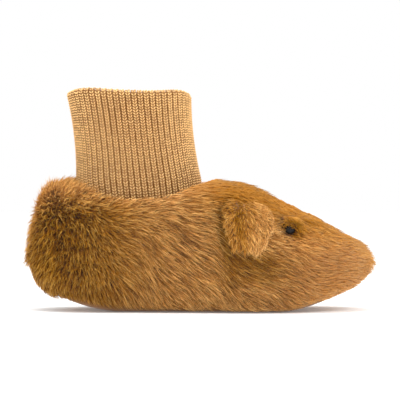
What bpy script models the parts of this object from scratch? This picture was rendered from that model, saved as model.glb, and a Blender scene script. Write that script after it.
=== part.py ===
# Plush animal slipper for a small child, right shoe: a furry upper on a soft sole, with a rib-knit
# ankle cuff, two hanging ears and two round eyes. Metres, +X to the toe, +Y to the inner side, +Z up.
# The sections of the last give every piece its place.

import math
import random

import bmesh
import bpy
from mathutils import Vector

# Sizes of the last, measured over the fur
LENGTH = 0.1494
BALL_WIDTH = 0.066
HEEL_WIDTH = 0.057
INSTEP_HEIGHT = 0.0582
HEEL_HEIGHT = 0.0568
TOE_TIP_HEIGHT = 0.0203
HEEL_TIP_HEIGHT = 0.0215
SWING = 0.003

# Cloth, fur and joints between pieces
WALL = 0.003
PILE = 0.0024
GAP = 0.0003
LOCK_LENGTH = 0.0165
LOCK_WIDTH = 0.0054
LOCK_SPACING = 0.0106
LOCK_ROWS = 1.15
LOCK_CROWDING = 0.045
LOCK_ROOT = 0.0012
FLOOR_CLEARANCE = 0.001

# Sole and insole
SOLE_INSET = 0.009
SOLE_THICKNESS = 0.0032
SOLE_EDGE_RISE = 0.0014
SOLE_DROP = 0.0024
ARCH_DEPTH = 0.0035
INSOLE_THICKNESS = 0.003

# Knitted cuff
CUFF_TOP_HEIGHT = 0.0942
CUFF_LENGTH = 0.0536
CUFF_BACK = 0.0210
CUFF_LEAN = 0.0043
CUFF_WAIST = 0.045
CUFF_SQUARENESS = 2.6
CUFF_END_DIP = 0.0016
CUFF_WALL = 0.0030
CUFF_TUCK = 0.008
CUFF_SIDE_CLEARANCE = 0.0022
RIB_COUNT = 60
RIB_DEPTH = 0.0009
CUFF_WAVE = 0.0009

# Ears and eyes
EAR_WIDTH = 0.0184
EAR_THICKNESS = 0.0046
EAR_STAND_OFF = 0.0028
EAR_FOLD = 0.0011
EAR_LOCK_LENGTH = 0.0085
EAR_LOCK_WIDTH = 0.0042
EYE_DIAMETER = 0.0062
EYE_CUT = 0.1

# Sections of the last, from the heel to the toe. Columns: place along the length, crest above the tip,
# underside as a share of the tip's height, half width, height of the widest place, sideways swing.
LAST = (
    # along, crest, under, half, belly, swing
    (0.000, 0.000, 1.000, 0.000, 0.50, 0.00),
    (0.006, 0.270, 0.860, 0.260, 0.47, 0.00),
    (0.025, 0.700, 0.590, 0.510, 0.44, 0.00),
    (0.055, 0.950, 0.400, 0.730, 0.42, 0.00),
    (0.095, 0.998, 0.318, 0.885, 0.40, -0.02),
    (0.206, 1.000, 0.137, 1.000, 0.38, -0.08),
    (0.345, 1.000, 0.066, 0.985, 0.36, -0.16),
    (0.500, 0.965, 0.030, 0.945, 0.36, -0.26),
    (0.655, 0.875, 0.044, 1.000, 0.37, -0.24),
    (0.794, 0.617, 0.166, 0.955, 0.41, 0.10),
    (0.905, 0.378, 0.407, 0.775, 0.45, 0.56),
    (0.975, 0.195, 0.700, 0.450, 0.48, 0.88),
    (0.994, 0.092, 0.850, 0.235, 0.50, 0.97),
    (1.000, 0.000, 1.000, 0.000, 0.50, 1.00),
)
ALONG, CREST, UNDER, HALF, BELLY, SIDEWAYS = range(6)

# How full the sections are: 2 is an ellipse, more is squarer.
COLLAR_FULLNESS = 3.2
TOE_FULLNESS = 2.25
UNDER_FULLNESS = 4.6

# Lie of the fur, from the heel to the toe. Columns: place along, degrees below the toe's direction on
# the crest, the same near the sole, lock length, how steeply the locks stand.
FUR = (
    # along, high, low, length, stand
    (0.00, 100.0, 120.0, 0.60, 1.25),
    (0.18, 25.0, 95.0, 0.70, 1.20),
    (0.40, 8.0, 62.0, 0.95, 1.05),
    (0.62, 4.0, 52.0, 1.05, 1.00),
    (0.80, 2.0, 22.0, 1.00, 0.90),
    (1.00, 0.0, 6.0, 0.80, 0.80),
)

# Outline of an ear, from the root to the tip. Columns: place along, half width, stand-off.
EAR = (
    # along, half, off
    (0.00, 0.70, 0.00),
    (0.18, 0.88, 0.38),
    (0.42, 1.00, 0.86),
    (0.66, 0.96, 1.00),
    (0.86, 0.70, 0.82),
    (0.96, 0.40, 0.66),
)

# Places on the last: shares of the length and turns from the crest in degrees
EAR_ALONG = 0.634
EAR_ROOT_TURN = 40.0
EAR_TIP_TURN = 80.0
EYE_ALONG = 0.754
EYE_TURN = 51.5
EAR_SPREAD = 1.35
EYE_SPREAD = 0.95
SOLE_TURN = 142.0


# Maths of the last

def read(table, column, along):
    # One column of a table at a place along it, on a smooth curve through the rows
    rows = [(math.acos(1 - 2 * min(max(row[ALONG], 0.0), 1.0)), row[column]) for row in table]
    place = math.acos(1 - 2 * min(max(along, 0.0), 1.0))
    index = 0
    while index < len(rows) - 2 and rows[index + 1][0] < place:
        index += 1
    slopes = []
    for middle in (index, index + 1):
        before, after = rows[max(middle - 1, 0)], rows[min(middle + 1, len(rows) - 1)]
        slopes.append((after[1] - before[1]) / (after[0] - before[0]))
    (start, low), (end, high) = rows[index], rows[index + 1]
    step = end - start
    t = min(max((place - start) / step, 0.0), 1.0)
    return ((2 * t ** 3 - 3 * t ** 2 + 1) * low + (t ** 3 - 2 * t ** 2 + t) * step * slopes[0]
            + (3 * t ** 2 - 2 * t ** 3) * high + (t ** 3 - t ** 2) * step * slopes[1])


def ease(value, start, end):
    t = min(max((value - start) / (end - start), 0.0), 1.0)
    return t * t * (3 - 2 * t)


def drawn_in(half, inset):
    # A half size made smaller by an inset, which fades out where the half size itself does
    return half * half / (half + 1.2 * inset) if half > 0 else 0.0


def along_at(x):
    return 0.5 + x / LENGTH


def section(along, pile=0.0, wall=0.0):
    # The last's section at a place along it. Pile comes off the crest and sides, a wall off all round.
    crest_size = HEEL_HEIGHT + (INSTEP_HEIGHT - HEEL_HEIGHT) * ease(along, 0.2, 0.5)
    tip = HEEL_TIP_HEIGHT + (TOE_TIP_HEIGHT - HEEL_TIP_HEIGHT) * ease(along, 0.0, 1.0)
    width = HEEL_WIDTH + (BALL_WIDTH - HEEL_WIDTH) * ease(along, 0.25, 0.65)
    crest = tip + (crest_size - tip) * read(LAST, CREST, along)
    under = tip * read(LAST, UNDER, along)
    tall = drawn_in((crest - under) / 2, pile / 2)
    crest = under + 2 * tall
    middle = (crest + under) / 2
    tall = drawn_in(tall, wall)
    half = drawn_in(drawn_in(width / 2 * read(LAST, HALF, along), pile), wall)
    belly = middle - tall + 2 * tall * read(LAST, BELLY, along)
    full = math.sin(math.acos(1 - 2 * along))
    crest_full = COLLAR_FULLNESS + (TOE_FULLNESS - COLLAR_FULLNESS) * ease(along, 0.4, 0.72)
    return {
        "x": (LENGTH - pile - 2 * wall) * (along - 0.5),
        "y": SWING * read(LAST, SIDEWAYS, along),
        "half": half,
        "belly": belly,
        "up": middle + tall - belly,
        "down": belly - middle + tall,
        "crest_power": 2 / (2 + (crest_full - 2) * full),
        "under_power": 2 / (2 + (UNDER_FULLNESS - 2) * full),
    }


def on_section(cut, turn):
    # A point of a section. Turn runs in radians from 0 on the crest, positive to the outer side.
    across, rise = math.sin(turn), math.cos(turn)
    power = cut["crest_power"] if rise >= 0 else cut["under_power"]
    tall = cut["up"] if rise >= 0 else cut["down"]
    y = cut["y"] - cut["half"] * math.copysign(abs(across) ** power, across)
    z = cut["belly"] + tall * math.copysign(abs(rise) ** power, rise)
    return Vector((cut["x"], y, z))


def on_last(along, turn, pile=0.0, wall=0.0):
    return on_section(section(along, pile, wall), turn)


def skin_frame(along, turn, pile):
    # Point, toe-ward tangent, tangent round the section and outward normal of the skin
    small_along, small_turn = 0.002, 0.02
    point = on_last(along, turn, pile)
    forward = on_last(along + small_along, turn, pile) - on_last(along - small_along, turn, pile)
    round_it = on_last(along, turn + small_turn, pile) - on_last(along, turn - small_turn, pile)
    forward, round_it = forward / (2 * small_along), round_it / (2 * small_turn)
    return point, forward, round_it, round_it.cross(forward).normalized()


def crest_height(x, y, pile):
    # Height of the skin above a point of the plan
    cut = section(along_at(x), pile)
    share = min(abs(y - cut["y"]) / cut["half"], 0.999)
    power = cut["crest_power"]
    return cut["belly"] + cut["up"] * (1 - share ** (2 / power)) ** (power / 2)


# Making meshes

def clear_scene():
    for old in list(bpy.data.objects):
        bpy.data.objects.remove(old)


def collection_named(name):
    found = bpy.data.collections.new(name)
    bpy.context.scene.collection.children.link(found)
    return found


def material_named(name, colour, roughness):
    made = bpy.data.materials.new(name)
    made.use_nodes = True
    shader = made.node_tree.nodes["Principled BSDF"]
    shader.inputs["Base Color"].default_value = (*colour, 1.0)
    shader.inputs["Roughness"].default_value = roughness
    shader.inputs["Metallic"].default_value = 0.0
    return made


def object_from(name, shape, collection, material=None):
    bmesh.ops.recalc_face_normals(shape, faces=shape.faces)
    bmesh.ops.triangulate(shape, faces=shape.faces)
    mesh = bpy.data.meshes.new(name)
    shape.to_mesh(mesh)
    shape.free()
    mesh.shade_smooth()
    made = bpy.data.objects.new(name, mesh)
    collection.objects.link(made)
    if material:
        mesh.materials.append(material)
    else:
        made.hide_render = True
        made.display_type = "WIRE"
    return made


def add_loft(shape, rings):
    # Skins rings of points into one closed body. A ring of one point is a pole, and wide ends are capped.
    made = [[shape.verts.new(point) for point in ring] for ring in rings]
    for first, second in zip(made, made[1:]):
        count = max(len(first), len(second))
        for i in range(count):
            after = (i + 1) % count
            if len(first) == 1:
                shape.faces.new((first[0], second[i], second[after]))
            elif len(second) == 1:
                shape.faces.new((first[i], second[0], first[after]))
            else:
                shape.faces.new((first[i], second[i], second[after], first[after]))
    for end in (made[0], made[-1]):
        if len(end) > 2:
            shape.faces.new(end)


def lofted(name, rings, collection, material=None):
    shape = bmesh.new()
    add_loft(shape, rings)
    return object_from(name, shape, collection, material)


def combine(target, tool, operation, overlapping=False):
    change = target.modifiers.new(operation.lower() + " " + tool.name, "BOOLEAN")
    change.operation = operation
    change.object = tool
    change.solver = "EXACT"
    change.use_self = overlapping


# Last and fur

def last_rings(stations, count, pile, wall):
    rings = []
    for i in range(stations + 1):
        along = (1 - math.cos(math.pi * i / stations)) / 2
        cut = section(along, pile, wall)
        if i in (0, stations):
            rings.append([on_section(cut, 0.0)])
        else:
            rings.append([on_section(cut, 2 * math.pi * j / count) for j in range(count)])
    return rings


def add_lock(shape, path, normals, sideways, width, thickness):
    # A lock of hair: a three-sided keel that is widest near its middle and runs out to a point
    rings = []
    for point, normal, side, share in zip(path[:-1], normals, sideways, (0.6, 1.0)):
        reach = side * (width * share / 2)
        rings.append([point - normal * thickness - reach, point, point - normal * thickness + reach])
    rings.append([path[-1]])
    add_loft(shape, rings)


def fur_walk(along, turn, degrees, length, heights, pile):
    # Steps over the skin in the lie of the fur, and lifts each point off it by its height
    path, normals, sideways = [], [], []
    step = length / (len(heights) - 1)
    for height in heights:
        point, forward, round_it, normal = skin_frame(along, turn, pile)
        down = round_it if turn > 0 else -round_it
        lie = math.radians(degrees)
        heading = forward.normalized() * math.cos(lie) + down.normalized() * math.sin(lie)
        lifted = point + normal * height
        lifted.z = max(lifted.z, FLOOR_CLEARANCE)
        path.append(lifted)
        normals.append(normal)
        sideways.append(normal.cross(heading).normalized())
        along += heading.dot(forward) / forward.length_squared * step
        along = min(max(along, 0.004), 0.996)
        turn += heading.dot(round_it) / round_it.length_squared * step
    return path, normals, sideways


def lie_of_fur(along, turn):
    low = ease(abs(turn), math.radians(25), math.radians(120))
    high_lie = read(FUR, 1, along)
    return high_lie + (read(FUR, 2, along) - high_lie) * low


def covered(point, along, turn):
    # True under the ears, the eyes and the cuff, where no lock is rooted
    for centre_along, first, last, reach in (
        (EAR_ALONG, EAR_ROOT_TURN, EAR_TIP_TURN, EAR_WIDTH / 2 * EAR_SPREAD),
        (EYE_ALONG, EYE_TURN, EYE_TURN, EYE_DIAMETER * EYE_SPREAD),
    ):
        nearest = min(max(abs(turn), math.radians(first)), math.radians(last))
        middle = on_last(centre_along, math.copysign(nearest, turn), PILE)
        if (point - middle).length < reach:
            return True
    return cuff_offset(point) < 1.0


def fur_locks(collection):
    shape = bmesh.new()
    rows = round(LENGTH * LOCK_ROWS / LOCK_SPACING)
    for row in range(rows):
        place = (row + 0.5) / rows
        row_along = place - LOCK_CROWDING * math.sin(2 * math.pi * place)
        cut = section(row_along, PILE)
        girth = 2 * (cut["half"] + (cut["up"] + cut["down"]) / 2) * math.radians(SOLE_TURN) / 2
        count = max(round(girth / LOCK_SPACING), 3)
        for number in range(count):
            share = (number + 0.5 + 0.5 * (row % 2)) / count - 0.5
            turn = 2 * math.radians(SOLE_TURN) * share + random.uniform(-0.06, 0.06)
            along = row_along + random.uniform(-0.008, 0.008)
            if abs(turn) > math.radians(SOLE_TURN - 14) or not 0.012 < along < 0.965:
                continue
            length = LOCK_LENGTH * read(FUR, 3, along) * random.uniform(0.85, 1.15)
            stand = PILE * read(FUR, 4, along) * random.uniform(0.8, 1.0)
            lie = lie_of_fur(along, turn) + random.uniform(-9, 9)
            heights = (-0.2 * LOCK_ROOT, 0.85 * stand, 0.9 * stand)
            path, normals, sideways = fur_walk(along, turn, lie, length, heights, PILE)
            if any(covered(point, along, turn) for point in path):
                continue
            width = LOCK_WIDTH * random.uniform(0.85, 1.15)
            add_lock(shape, path, normals, sideways, width, 0.85 * stand + 0.4 * LOCK_ROOT)
    return object_from("locks", shape, collection)


# Sole

def plan_outline(inset, count):
    # Outline in plan as (x, y) round the shoe, drawn in from the last, with the inner arch
    points = []
    for i in range(count):
        angle = 2 * math.pi * i / count
        along = (1 - math.cos(angle)) / 2
        cut = section(along)
        half = drawn_in(cut["half"], inset)
        side = 1 if math.sin(angle) >= 0 else -1
        if side > 0:
            half -= ARCH_DEPTH * ease(along, 0.18, 0.42) * (1 - ease(along, 0.42, 0.66))
        points.append(((LENGTH - 2 * inset) * (along - 0.5), cut["y"] + side * half))
    return points


def sole_lift(x):
    # Height of the sole's underside: flat on the floor, turned up at the heel and the toe
    end = LENGTH / 2 - SOLE_INSET
    cut = section(along_at(x))
    under = cut["belly"] - cut["down"]
    return max(0.0, under - SOLE_DROP * (1 - (x / end) ** 4))


def plate_rings(inset, low, high, edge):
    # Sections of a plate that follows the sole. Low and high are its faces above the sole's underside.
    stations = 26
    rings = []
    outline = plan_outline(inset, 2 * stations)
    for i in range(1, stations):
        x, inner = outline[i]
        outer = outline[2 * stations - i][1]
        base = sole_lift(x)
        rim = (low + high) / 2 + edge
        middle, half = (inner + outer) / 2, (inner - outer) / 2
        shape = ((-0.86, low), (0.0, low), (0.86, low), (1.0, low + edge), (1.0, rim),
                 (0.92, high + 0.7 * edge), (0.6, high), (-0.6, high), (-0.92, high + 0.7 * edge),
                 (-1.0, rim), (-1.0, low + edge))
        rings.append([Vector((x, middle + share * half, base + z)) for share, z in shape])
    return rings


def make_sole(collection, material):
    return lofted("sole", plate_rings(SOLE_INSET, 0.0, SOLE_THICKNESS, SOLE_EDGE_RISE),
                  collection, material)


def make_insole(collection, material):
    low = SOLE_THICKNESS + SOLE_EDGE_RISE * 0.75 + GAP
    rings = plate_rings(SOLE_INSET + 2 * GAP, low, low + INSOLE_THICKNESS, 0.0)
    return lofted("insole", rings, collection, material)


def sole_opening(collection):
    # Cuts the upper open underneath, a gap wider than the sole
    outline = plan_outline(SOLE_INSET, 72)
    room = SOLE_THICKNESS + SOLE_EDGE_RISE + INSOLE_THICKNESS + 3 * GAP
    low, high = [], []
    for i, (x, y) in enumerate(outline):
        before, after = outline[i - 1], outline[(i + 1) % len(outline)]
        side = Vector((before[1] - after[1], after[0] - before[0])).normalized() * GAP
        low.append(Vector((x + side.x, y + side.y, -HEEL_TIP_HEIGHT)))
        high.append(Vector((x + side.x, y + side.y, sole_lift(x) + room)))
    middle = Vector((0.0, 0.0, room))
    return lofted("sole opening", [low, high, [middle]], collection)


# Cuff

def cuff_centre(z):
    # The cuff leans back as it rises
    base_x = -LENGTH / 2 + CUFF_BACK + CUFF_LENGTH / 2
    rise = (z - HEEL_HEIGHT) / (CUFF_TOP_HEIGHT - HEEL_HEIGHT)
    return base_x - CUFF_LEAN * rise, section(along_at(base_x))["y"]


def cuff_halves(z):
    # The knit draws in between the collar and the top
    base_x = cuff_centre(HEEL_HEIGHT)[0]
    inside = section(along_at(base_x), PILE, WALL)["half"]
    rise = min(max((z - HEEL_HEIGHT) / (CUFF_TOP_HEIGHT - HEEL_HEIGHT), 0.0), 1.0)
    waist = 1 - CUFF_WAIST * 4 * rise * (1 - rise)
    return CUFF_LENGTH / 2 * waist, (inside - CUFF_SIDE_CLEARANCE) * waist


def cuff_offset(point):
    # How far a point lies from the cuff's middle: 1 on the outside of the knit
    centre_x, centre_y = cuff_centre(point.z)
    long_half, wide_half = cuff_halves(point.z)
    x, y = (point.x - centre_x) / (long_half + GAP), (point.y - centre_y) / (wide_half + GAP)
    return (abs(x) ** CUFF_SQUARENESS + abs(y) ** CUFF_SQUARENESS) ** (1 / CUFF_SQUARENESS)


def cuff_point(angle, z, inset):
    centre_x, centre_y = cuff_centre(z)
    long_half, wide_half = cuff_halves(z)
    across, beside = math.cos(angle), math.sin(angle)
    power = 2 / CUFF_SQUARENESS
    return Vector((centre_x + (long_half - inset) * math.copysign(abs(across) ** power, across),
                   centre_y + (wide_half - inset) * math.copysign(abs(beside) ** power, beside), z))


def even_angles(count):
    # Angles that lie evenly along the cuff's outline, with one on the toe side
    fine = 720
    outline = [cuff_point(2 * math.pi * i / fine, HEEL_HEIGHT, 0.0) for i in range(fine + 1)]
    run = [0.0]
    for before, after in zip(outline, outline[1:]):
        run.append(run[-1] + (after - before).length)
    angles = []
    index = 0
    for i in range(count):
        wanted = run[-1] * i / count
        while run[index + 1] < wanted:
            index += 1
        part = (wanted - run[index]) / (run[index + 1] - run[index])
        angles.append(2 * math.pi * (index + part) / fine)
    return angles


def cuff_base(angle):
    # The cuff is tucked in below the skin's edge, which is high at the front and back and low at the sides
    edge = cuff_point(angle, HEEL_HEIGHT, 0.0)
    return crest_height(edge.x, edge.y, PILE) - CUFF_TUCK


def cuff_top(angle):
    # The top edge waves, is highest at the back of the outer side and dips at its two ends
    wave = CUFF_WAVE * (0.6 * math.cos(angle + 2.6) + 0.5 * math.cos(4 * angle + 2.44))
    return CUFF_TOP_HEIGHT + wave - CUFF_END_DIP * math.cos(angle) ** 12


def make_cuff(collection, material):
    # Ribs run up the outside and over the rolled top. The inside is smooth.
    shape = bmesh.new()
    levels = ((0.0, 0.0, 0.0), (0.30, 0.0, 0.0), (0.62, 0.0, 0.0), (0.90, 0.0, 0.0),
              (1.0, -0.45, 0.12), (1.0, -0.10, 0.42))
    depths = (RIB_DEPTH, 0.0, 0.0)
    outside_angles, inside_angles = even_angles(len(depths) * RIB_COUNT), even_angles(2 * RIB_COUNT)[1::2]
    outside = []
    for rise, below, inward in levels:
        ring = []
        for i, angle in enumerate(outside_angles):
            base, top = cuff_base(angle), cuff_top(angle)
            z = base + (top - base) * rise + below * CUFF_WALL
            inset = depths[i % len(depths)] + inward * CUFF_WALL
            ring.append(shape.verts.new(cuff_point(angle, z, inset)))
        outside.append(ring)
    inside = []
    for rise, below in ((1.0, -0.35), (0.62, 0.0), (0.3, 0.0), (0.0, 0.0)):
        ring = []
        for angle in inside_angles:
            base, top = cuff_base(angle), cuff_top(angle)
            ring.append(shape.verts.new(
                cuff_point(angle, base + (top - base) * rise + below * CUFF_WALL, CUFF_WALL)))
        inside.append(ring)
    for rings in (outside, inside):
        for first, second in zip(rings, rings[1:]):
            count = len(first)
            for i in range(count):
                after = (i + 1) % count
                shape.faces.new((first[i], first[after], second[after], second[i]))
    for many, few in ((outside[-1], inside[0]), (outside[0], inside[-1])):
        for rib in range(RIB_COUNT):
            groove, left, right = many[3 * rib:3 * rib + 3]
            beyond = many[(3 * rib + 3) % len(many)]
            corner, next_corner = few[rib], few[(rib + 1) % RIB_COUNT]
            shape.faces.new((groove, left, corner))
            shape.faces.new((left, right, corner))
            shape.faces.new((right, beyond, corner))
            shape.faces.new((beyond, next_corner, corner))
    return object_from("cuff", shape, collection, material)


def collar_opening(collection):
    rings = []
    count = 64
    for part in range(3):
        ring = []
        for i in range(count):
            angle = 2 * math.pi * i / count
            base = cuff_base(angle) - GAP
            z = base + (CUFF_TOP_HEIGHT - base) * part / 2
            ring.append(cuff_point(angle, z, -GAP))
        rings.append(ring)
    low_pole = sum(rings[0], Vector()) / count
    high_pole = sum(rings[-1], Vector()) / count
    return lofted("collar opening", [[low_pole], *rings, [high_pole]], collection)


# Upper

def make_upper(collection, cutters, material):
    upper = lofted("upper", last_rings(28, 32, PILE, 0.0), collection, material)
    combine(upper, fur_locks(cutters), "UNION", overlapping=True)
    combine(upper, lofted("foot room", last_rings(20, 20, PILE, WALL), cutters), "DIFFERENCE")
    combine(upper, sole_opening(cutters), "DIFFERENCE")
    combine(upper, collar_opening(cutters), "DIFFERENCE")
    return upper


# Ears and eyes

def ear_place(side, down, across, lift):
    # A point of the ear: down from root to tip, across from back to front, lift off the skin
    turn = side * math.radians(EAR_ROOT_TURN + (EAR_TIP_TURN - EAR_ROOT_TURN) * down)
    down = min(down, EAR[-1][ALONG])
    half = EAR_WIDTH / 2 * read(EAR, 1, down)
    point, _, _, normal = skin_frame(EAR_ALONG + across * half / LENGTH, turn, PILE)
    off = GAP + EAR_THICKNESS / 2 + EAR_STAND_OFF * read(EAR, 2, down)
    return point + normal * (off + lift), normal


def make_ear(name, side, collection, cutters, material):
    across_steps = (-1.0, -0.8, -0.45, 0.0, 0.45, 0.8)
    rings = []
    for row in range(9):
        down = EAR[-1][ALONG] * math.sin(math.pi / 2 * row / 8)
        ring = []
        for face in (1, -1):
            for across in across_steps:
                share = across * face
                thick = EAR_THICKNESS / 2 * math.sqrt(max(1 - share * share, 0.0)) ** 0.7
                fold = EAR_FOLD * math.exp(-((share + 0.42) / 0.16) ** 2) if face > 0 else 0.0
                point, _ = ear_place(side, down, share, face * thick - fold)
                ring.append(point)
        rings.append(ring)
    tip, _ = ear_place(side, 1.0, 0.0, 0.0)
    ear = lofted(name, rings + [[tip]], collection, material)
    length = (tip - ear_place(side, 0.0, 0.0, 0.0)[0]).length
    shape = bmesh.new()
    for row in range(4):
        for place in range(3):
            down = 0.16 + 0.22 * row + random.uniform(-0.02, 0.02)
            across = (place - 1) * 0.52 + (0.2 if row % 2 else -0.1)
            path, normals = [], []
            for share, lift in ((0.0, 0.46), (0.5, 0.66), (1.0, 0.62)):
                stride = down + share * EAR_LOCK_LENGTH / length
                point, normal = ear_place(side, min(stride, 1.04), across * (1 - 0.2 * share),
                                          EAR_THICKNESS * lift)
                path.append(point)
                normals.append(normal)
            heading = (path[-1] - path[0]).normalized()
            sideways = [normal.cross(heading).normalized() for normal in normals]
            add_lock(shape, path, normals, sideways, EAR_LOCK_WIDTH, 0.25 * EAR_THICKNESS)
    combine(ear, object_from(name + " locks", shape, cutters), "UNION", overlapping=True)
    return ear


def make_eye(name, side, collection, material):
    shape = bmesh.new()
    radius = EYE_DIAMETER / 2
    bmesh.ops.create_uvsphere(shape, u_segments=16, v_segments=10, radius=radius)
    cut = bmesh.ops.bisect_plane(
        shape, geom=shape.verts[:] + shape.edges[:] + shape.faces[:],
        plane_co=(0, 0, EYE_CUT * radius), plane_no=(0, 0, -1), clear_outer=True)
    edges = [item for item in cut["geom_cut"] if isinstance(item, bmesh.types.BMEdge)]
    bmesh.ops.edgeloop_fill(shape, edges=edges)
    made = object_from(name, shape, collection, material)
    point, _, _, normal = skin_frame(EYE_ALONG, side * math.radians(EYE_TURN), PILE)
    made.location = point + normal * (GAP - EYE_CUT * radius)
    made.rotation_mode = "QUATERNION"
    made.rotation_quaternion = normal.to_track_quat("Z", "Y")
    return made


# Assembly

def bounds_of(pieces):
    graph = bpy.context.evaluated_depsgraph_get()
    points = []
    for piece in pieces:
        seen = piece.evaluated_get(graph)
        points += [seen.matrix_world @ vert.co for vert in seen.data.vertices]
    return [(min(point[axis] for point in points), max(point[axis] for point in points))
            for axis in range(3)]


def main():
    clear_scene()
    random.seed(7)
    pieces = collection_named("animal slipper")
    cutters = collection_named("cutters")
    fur = material_named("plush fur", (0.37, 0.18, 0.05), 0.9)
    suede = material_named("soft suede sole", (0.28, 0.19, 0.12), 0.85)
    fleece = material_named("insole fleece", (0.62, 0.48, 0.32), 0.95)
    knit = material_named("rib knit", (0.52, 0.30, 0.12), 0.9)
    bead = material_named("eye bead", (0.008, 0.007, 0.007), 0.12)

    made = [
        make_sole(pieces, suede),
        make_insole(pieces, fleece),
        make_upper(pieces, cutters, fur),
        make_cuff(pieces, knit),
    ]
    for side, word in ((1, "right"), (-1, "left")):
        made.append(make_ear("ear_" + word, side, pieces, cutters, fur))
        made.append(make_eye("eye_" + word, side, pieces, bead))

    # The middle of the whole shoe's box comes to the origin
    bpy.context.view_layer.update()
    box = bounds_of(made)
    middle = bpy.data.objects.new("middle", None)
    pieces.objects.link(middle)
    for piece in list(pieces.objects) + list(cutters.objects):
        if piece is not middle:
            piece.parent = middle
    middle.location = (-sum(box[0]) / 2, -sum(box[1]) / 2, 0.0)


main()
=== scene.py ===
import math
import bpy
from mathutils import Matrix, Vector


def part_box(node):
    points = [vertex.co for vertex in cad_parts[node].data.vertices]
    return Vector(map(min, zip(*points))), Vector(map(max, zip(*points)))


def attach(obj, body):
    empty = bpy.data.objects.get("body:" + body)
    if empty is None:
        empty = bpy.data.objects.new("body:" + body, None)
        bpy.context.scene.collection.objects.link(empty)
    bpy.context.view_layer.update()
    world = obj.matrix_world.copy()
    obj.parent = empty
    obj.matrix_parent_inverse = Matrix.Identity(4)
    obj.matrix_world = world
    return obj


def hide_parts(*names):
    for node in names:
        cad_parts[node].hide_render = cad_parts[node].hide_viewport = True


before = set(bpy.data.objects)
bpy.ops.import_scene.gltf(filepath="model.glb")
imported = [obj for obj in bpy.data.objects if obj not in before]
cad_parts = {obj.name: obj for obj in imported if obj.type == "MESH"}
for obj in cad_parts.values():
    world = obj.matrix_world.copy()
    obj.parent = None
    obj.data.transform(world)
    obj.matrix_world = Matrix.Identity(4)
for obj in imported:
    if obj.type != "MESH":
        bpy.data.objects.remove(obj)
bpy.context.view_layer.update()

from types import SimpleNamespace

import bmesh
import bpy
import numpy as np
from mathutils import Vector

# sizes of the last in metres, as the solids have them
last = {
    "length": 0.1494, "ballWidth": 0.066, "heelWidth": 0.057, "instep": 0.0582, "heel": 0.0568,
    "toeTip": 0.0203, "heelTip": 0.0215, "swing": 0.003, "gap": 0.0003, "pile": 0.0024, "wall": 0.003,
    "collarFullness": 3.2, "toeFullness": 2.25, "underFullness": 4.6,
}
# along, crest, under, half, belly, swing
lastRows = np.array([
    (0.000, 0.000, 1.000, 0.000, 0.50, 0.00),
    (0.006, 0.270, 0.860, 0.260, 0.47, 0.00),
    (0.025, 0.700, 0.590, 0.510, 0.44, 0.00),
    (0.055, 0.950, 0.400, 0.730, 0.42, 0.00),
    (0.095, 0.998, 0.318, 0.885, 0.40, -0.02),
    (0.206, 1.000, 0.137, 1.000, 0.38, -0.08),
    (0.345, 1.000, 0.066, 0.985, 0.36, -0.16),
    (0.500, 0.965, 0.030, 0.945, 0.36, -0.26),
    (0.655, 0.875, 0.044, 1.000, 0.37, -0.24),
    (0.794, 0.617, 0.166, 0.955, 0.41, 0.10),
    (0.905, 0.378, 0.407, 0.775, 0.45, 0.56),
    (0.975, 0.195, 0.700, 0.450, 0.48, 0.88),
    (0.994, 0.092, 0.850, 0.235, 0.50, 0.97),
    (1.000, 0.000, 1.000, 0.000, 0.50, 1.00),
])


# maths of the last, on whole arrays of places at once

def readRows(table, column, along):
    # a column of a table as a smooth curve, worked in angles so that both ends come out round
    along = np.clip(np.asarray(along, float), 0.0, 1.0)
    place = np.arccos(1 - 2 * along)
    knots, values = np.arccos(1 - 2 * table[:, 0]), table[:, column]
    before = np.maximum(np.arange(len(knots)) - 1, 0)
    after = np.minimum(np.arange(len(knots)) + 1, len(knots) - 1)
    slopes = (values[after] - values[before]) / (knots[after] - knots[before])
    i = np.clip(np.searchsorted(knots, place) - 1, 0, len(knots) - 2)
    step = knots[i + 1] - knots[i]
    t = np.clip((place - knots[i]) / step, 0.0, 1.0)
    return ((2 * t ** 3 - 3 * t ** 2 + 1) * values[i] + (t ** 3 - 2 * t ** 2 + t) * step * slopes[i]
            + (3 * t ** 2 - 2 * t ** 3) * values[i + 1] + (t ** 3 - t ** 2) * step * slopes[i + 1])


def ease(value, start, end):
    t = np.clip((value - start) / (end - start), 0.0, 1.0)
    return t * t * (3 - 2 * t)


def easeTurn(tilt, start, end):
    return ease(tilt, math.radians(start), math.radians(end))


def blend(first, second, share):
    return first + (second - first) * share


def hill(*terms):
    # 1 where each value is at its middle, and less the further it is by its reach
    return np.exp(-sum(((value - middle) / reach) ** 2 for value, middle, reach in terms))


def drawnIn(half, inset):
    # a half width drawn in by an inset, which never falls below zero
    return half * half / (half + 1.2 * inset + 1e-12)


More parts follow.
